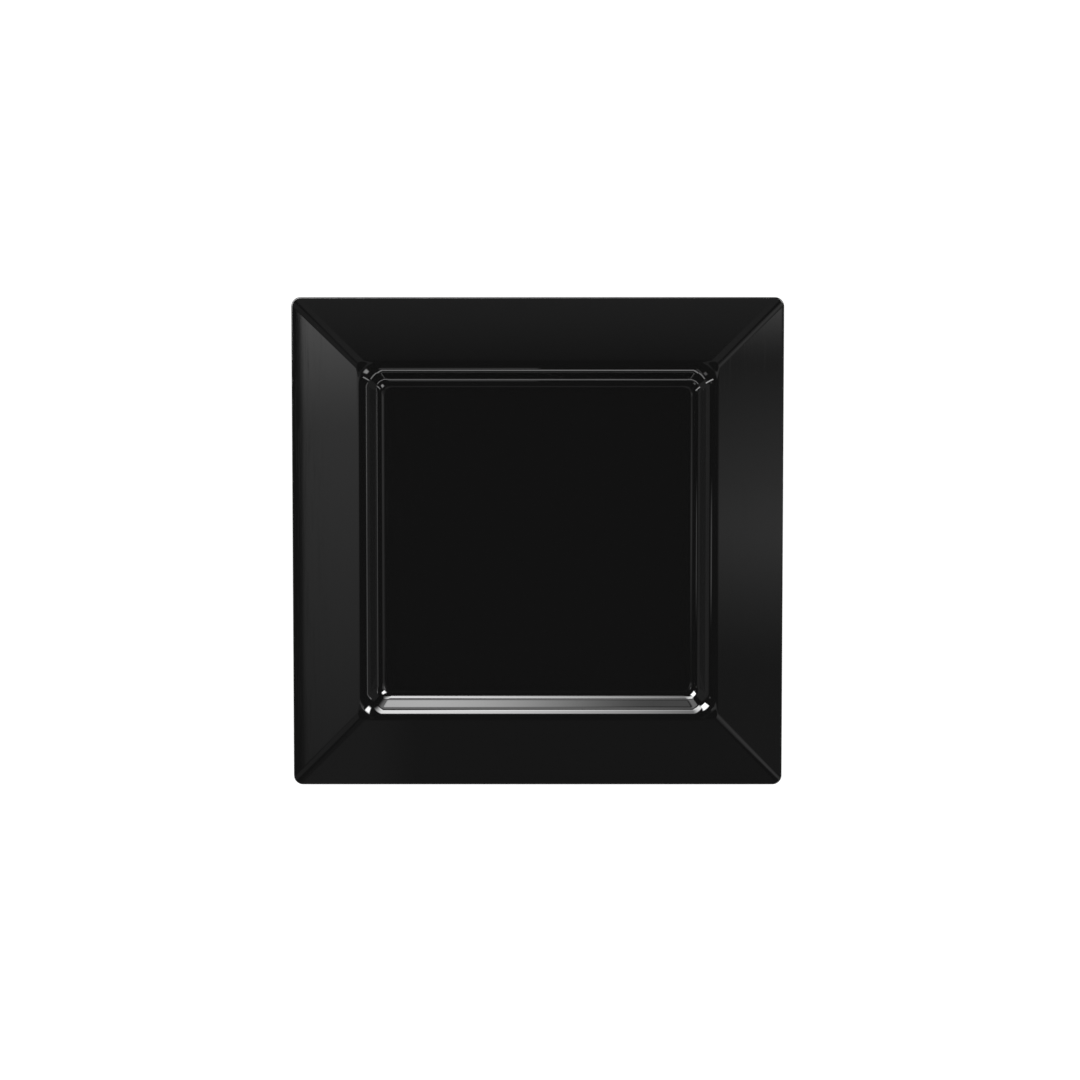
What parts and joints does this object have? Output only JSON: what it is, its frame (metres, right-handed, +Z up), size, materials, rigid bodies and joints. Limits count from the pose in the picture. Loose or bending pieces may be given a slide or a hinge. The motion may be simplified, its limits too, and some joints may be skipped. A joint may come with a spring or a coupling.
{
  "type": "square serving platter",
  "caption": "Square black platter with a wide sloped rim that meets in mitred corners, a shallow flat-floored well and soft pads under it, for serving food.",
  "frame": {"origin": "middle of the platter, on the surface that the pads stand on", "axes": "+Z up out of the well, along the platter's fourfold axis; +X and +Y square to its sides"},
  "size_m": [0.3, 0.3, 0.0226],
  "materials": {
    "moulded_melamine": "high gloss from a polished mould",
    "elastomer_pad": "matt"
  },
  "bodies": {
    "root": {"platter_body": "moulded_melamine", "foot_pad_front_left": "elastomer_pad", "foot_pad_front_right": "elastomer_pad", "foot_pad_back_left": "elastomer_pad", "foot_pad_back_right": "elastomer_pad"}
  },
  "joints": []
}
